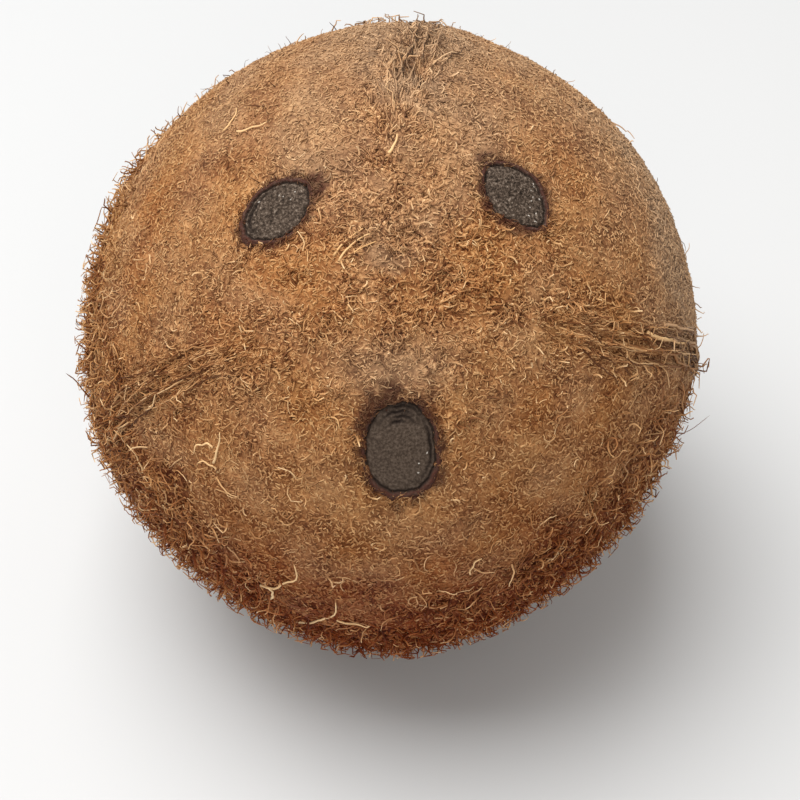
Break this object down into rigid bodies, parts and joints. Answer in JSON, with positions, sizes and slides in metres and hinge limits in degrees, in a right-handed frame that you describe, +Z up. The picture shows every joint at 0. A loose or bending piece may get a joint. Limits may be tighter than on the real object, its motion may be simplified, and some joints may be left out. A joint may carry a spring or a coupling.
{
  "type": "coconut",
  "caption": "Mature brown coconut with its outer husk removed, a fibrous ovoid with raised seams and dark germination pores at one end, resting on a small flat spot.",
  "frame": {"origin": "middle of the small flat spot that the nut rests on", "axes": "+Z up, away from the surface it rests on; the eye end, with the three pores, faces -Y and up, its axis 51 degrees above the horizontal; X is across the nut, its shortest extent"},
  "size_m": [0.1126, 0.1192, 0.1191],
  "materials": {
    "coir_husk": "matt brown coir felt with loose fibres"
  },
  "bodies": {
    "root": {"coconut": "coir_husk"}
  },
  "joints": []
}
